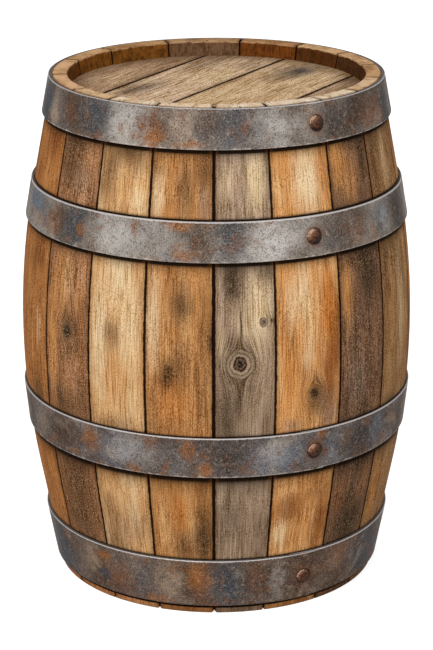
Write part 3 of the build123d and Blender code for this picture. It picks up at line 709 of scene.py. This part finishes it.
def hoop_iron(name, seed):
    """Rusty strip iron with worn edges, painted highlights and painted shade, for one hoop."""
    low, high = (corner.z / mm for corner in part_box(name))
    material, tree, shader = new_material(f"rusty_iron_{name}")
    place = in_millimetres(tree, add(tree, "TexCoord").outputs["Object"])
    shifted = add(tree, "VectorMath", [place, (97 * seed, 41 * seed, 13 * seed)], operation="ADD")
    cloud, patch, bloom, speck, spots, warp = (
        add(tree, "TexNoise", {
            "Vector": shifted, "Scale": 1 / size, "Detail": detail, "Roughness": rough, "Distortion": bend,
        })
        for size, detail, rough, bend in hoop_noises.values()
    )
    drift = add(tree, "VectorMath", [warp.outputs["Color"], (0.5, 0.5, 0.5)], operation="SUBTRACT")
    loose = add(tree, "VectorMath", [drift, blot_drift, stave_directions(tree, 0)], operation="MULTIPLY_ADD")

    dark, body, shine, edge_tone, edge_strength = hoop_tones[name]
    colour = coat(tree, linear(dark), body, cloud, 0.34, 0.66)
    for tone, angle, up, wide, tall, strength in hoop_blots[name]:
        away = oval(tree, loose, across_to(0, angle), low + up, wide, tall)
        colour = coat(tree, colour, tone, away, *blot_fade, strength)
    colour = coat(tree, colour, slate, bloom, 0.54, 0.72, 0.3)
    colour = coat(tree, colour, "B09C88", bloom, 0.46, 0.28, 0.3)
    colour = coat(tree, colour, rust_brown, patch, 0.54, 0.70, 0.5)
    colour = coat(tree, colour, "2C1F16", spots, 0.52, 0.74, 0.4)
    colour = coat(tree, colour, "BEAA94", spots, 0.46, 0.26, 0.3)
    near_rust = add(tree, "MapRange", [patch, 0.46, 0.64])
    both = add(tree, "Math", [spots, near_rust], operation="MULTIPLY")
    colour = coat(tree, colour, rust_orange, both, 0.46, 0.70, 0.45)
    colour = coat(tree, colour, "15110F", speck, 0.50, 0.30, 0.6)
    colour = coat(tree, colour, "D8C8B8", speck, 0.54, 0.78, 0.2)

    rivet_low, rivet_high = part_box(name.replace("hoop", "rivet"))
    rivet = tuple((rivet_low + rivet_high) / 2 / mm + rivet_shade)
    from_rivet = add(tree, "VectorMath", [place, rivet], operation="DISTANCE").outputs["Value"]
    # Round the rivet: a brown halo of rust, and inside it a dark ring set down and to the right, which is the
    # rivet's painted shadow on the hoop.
    colour = coat(tree, colour, "6A3F26", from_rivet, 15, 8, 0.35)
    colour = coat(tree, colour, "140D0A", from_rivet, 9.0, 7.6, 0.8)

    # The upper edge is worn bright and also painted with a highlight. The pale lower edge of the upper three
    # hoops is a painted highlight, and the bottom hoop's lower edge is painted dark.
    height = add(tree, "SeparateXYZ", [place]).outputs["Z"]
    rough_edge = add(tree, "Math", [speck, 1.2, height], operation="MULTIPLY_ADD")
    colour = coat(tree, colour, "D0CAC8", rough_edge, high + 0.6 - shine, high + 1.1 - shine, 0.7)
    rough_edge = add(tree, "Math", [spots, 5.0, rough_edge], operation="MULTIPLY_ADD")
    edge = low + lower_edge
    colour = coat(tree, colour, edge_tone, rough_edge, edge, edge - 1, edge_strength)
    facing_up = add(tree, "SeparateXYZ", [add(tree, "NewGeometry").outputs["Normal"]]).outputs["Z"]
    colour = coat(tree, colour, "4E443C", facing_up, 0.86, 0.94, 0.85)

    metal = add(tree, "MapRange", [patch, 0.50, 0.66, 0.4, 0.15])
    roughness = add(tree, "MapRange", [patch, 0.3, 0.7, 0.45, 0.65])
    bump = add(tree, "Bump", {"Height": speck, "Strength": 0.35, "Distance": 0.3 * mm})
    tree.links.new(colour.outputs[0], shader.inputs["Base Color"])
    tree.links.new(metal.outputs[0], shader.inputs["Metallic"])
    tree.links.new(roughness.outputs[0], shader.inputs["Roughness"])
    tree.links.new(bump.outputs[0], shader.inputs["Normal"])
    shader.inputs["Specular Tint"].default_value = linear("505050")
    shader.inputs["Specular IOR Level"].default_value = 0.1
    return material


for number, name in enumerate(hoop_names):
    dress(name, hoop_iron(name, number + 1.0))
print(len(hoop_names), "hoops dressed")

# %% [markdown]
# The rivets were hammered down and never cleaned, so they are the rustiest pieces: a dark red brown. Each
# head has painted light and a painted highlight on its upper left, toward the front, and painted shade below.

# %% Iron of the rivets
painted_light_side = (-0.6, -0.3, 0.74)
pit_place = Vector((1.2, 0.7, -0.6))


def rivet_iron(name):
    """Iron under brown rust, with painted light and a painted highlight on its upper left, painted shade
    below, and a small dark pit in its head.
    """
    low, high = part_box(name)
    middle = (low + high) / 2
    material, tree, shader = new_material(f"rusted_{name}")
    place = add(tree, "TexCoord").outputs["Object"]
    normal = add(tree, "NewGeometry").outputs["Normal"]
    rust = add(tree, "TexNoise", {"Vector": place, "Scale": 1 / (3 * mm), "Detail": 3.0})
    # Painted light: paler on faces turned up, left and to the front, with a painted highlight where they turn
    # most that way, and painted shade on faces turned away.
    painted_light = add(tree, "VectorMath", [normal, painted_light_side], operation="DOT_PRODUCT").outputs["Value"]
    painted_light = add(tree, "Math", [rust, 0.5, painted_light], operation="MULTIPLY_ADD")
    colour = coat(tree, linear("28160D"), "54321F", rust, 0.35, 0.65)
    colour = coat(tree, colour, "946850", painted_light, 0.36, 0.90, 0.65)
    colour = coat(tree, colour, "E0BEA4", painted_light, 0.80, 1.05, 0.5)
    colour = coat(tree, colour, "0E0603", painted_light, 0.24, -0.25, 0.95)
    pit = tuple(middle + pit_place * mm)
    from_pit = add(tree, "VectorMath", [place, pit], operation="DISTANCE").outputs["Value"]
    colour = coat(tree, colour, "1A0C06", from_pit, 3.4 * mm, 2.4 * mm, 0.7)
    bump = add(tree, "Bump", {"Height": rust, "Strength": 0.4, "Distance": 0.3 * mm})
    tree.links.new(colour.outputs[0], shader.inputs["Base Color"])
    tree.links.new(bump.outputs[0], shader.inputs["Normal"])
    shader.inputs["Roughness"].default_value = 0.5
    shader.inputs["Specular IOR Level"].default_value = 0.1
    return material


rivet_names = [name for name in nodes if name.endswith("_rivet")]
for name in rivet_names:
    dress(name, rivet_iron(name))
print(len(rivet_names), "rivets dressed")

# %% [markdown]
# The bung and the keystone are turned from a paler wood with the grain across them, and both are plain and
# dry. They get the same oak with their own tones. They have no joints, so that dirt is set far outside them.

# %% Wood of the bung and the keystone
def plug_directions(tree):
    """Across, into and along a plug in mm, with its grain level."""
    split = add(tree, "SeparateXYZ", [add(tree, "TexCoord").outputs["Object"]])
    return in_millimetres(tree, add(tree, "CombineXYZ", [split.outputs[name] for name in "ZYX"]))


no_joint = 1e4
plug_tones = ("D8BC92", "BC9A6E", "8E6E4A")
plug_wood = oak("dry_plug_wood", plug_directions, no_joint, plug_tones, seed=60.0)
for name in ("bung", "keystone"):
    dress(name, plug_wood)
print("bung and keystone dressed in", plug_wood.name)

# %% [markdown]
# The cask stands on a pale floor, like an object on a sheet of paper. The paper glows a little for the rays
# that the camera sees, so it comes out white and still takes the cask's soft shadow. It could be lit until
# it is white, but then its glare would bleach the foot of the cask.

# %% Floor
floor_half = 6.0
floor_glow = 0.75
paper_tone = "D8D8D8"
floor_mesh = bpy.data.meshes.new("floor")
corners = ((-1, -1), (1, -1), (1, 1), (-1, 1))
places = [(across * floor_half, back * floor_half, 0) for across, back in corners]
floor_mesh.from_pydata(places, [], [(0, 1, 2, 3)])
floor = bpy.data.objects.new("floor", floor_mesh)
bpy.context.scene.collection.objects.link(floor)

paper, tree, shader = new_material("white_paper")
shader.inputs["Base Color"].default_value = linear(paper_tone)
shader.inputs["Roughness"].default_value = 0.9
glowing = add(tree, "Math", [seen_white(tree), floor_glow], operation="MULTIPLY")
glow = add(tree, "Emission", {"Strength": glowing})
lit = add(tree, "AddShader", [shader, glow])
tree.links.new(lit.outputs[0], tree.nodes["Material Output"].inputs["Surface"])
floor_mesh.materials.append(paper)
print(f"a floor {2 * floor_half:.0f} m square")

# %% [markdown]
# The sky lights the cask from all sides, at about half strength, so that no side is black, and the camera
# sees it white. A large softbox in front to the left adds the soft light of a window and rounds the cask, and
# a weak one to the right keeps the shaded staves readable. A sun lamp could do it too, but its hard shadows
# would hide the worn edges.

# %% Sky and lamps
sky_strength = 0.52

# Each softbox: its place and its size in metres, and its power in watts
softboxes = {"key": ((-0.9, -2.2, 2.0), 1.3, 46), "fill": ((1.7, -1.7, 1.0), 1.6, 10)}

world = bpy.data.worlds.new("studio")
bpy.context.scene.world = world
world.use_nodes = True
tree = world.node_tree
strength = add(tree, "MapRange", [seen_white(tree), 0.0, 1.0, sky_strength, 1.0])
background = tree.nodes["Background"]
background.inputs["Color"].default_value = (1, 1, 1, 1)
tree.links.new(strength.outputs[0], background.inputs["Strength"])


def softbox(name, place, aim, size, power):
    """A square lamp at a place, turned to face another."""
    lamp = bpy.data.lights.new(name, "AREA")
    lamp.size = size
    lamp.energy = power
    holder = bpy.data.objects.new(name, lamp)
    holder.location = place
    direction = [end - start for start, end in zip(place, aim)]
    holder.rotation_euler = (atan2(hypot(direction[0], direction[1]), -direction[2]), 0,
                             atan2(-direction[0], direction[1]))
    bpy.context.scene.collection.objects.link(holder)


middle_of_cask = (0, 0, cask_height / 2 * mm)
for name, (place, size, power) in softboxes.items():
    softbox(name, place, middle_of_cask, size, power)
    print(f"{name} softbox: {size} m wide, {power} W")
bpy.context.scene.view_settings.view_transform = "Standard"
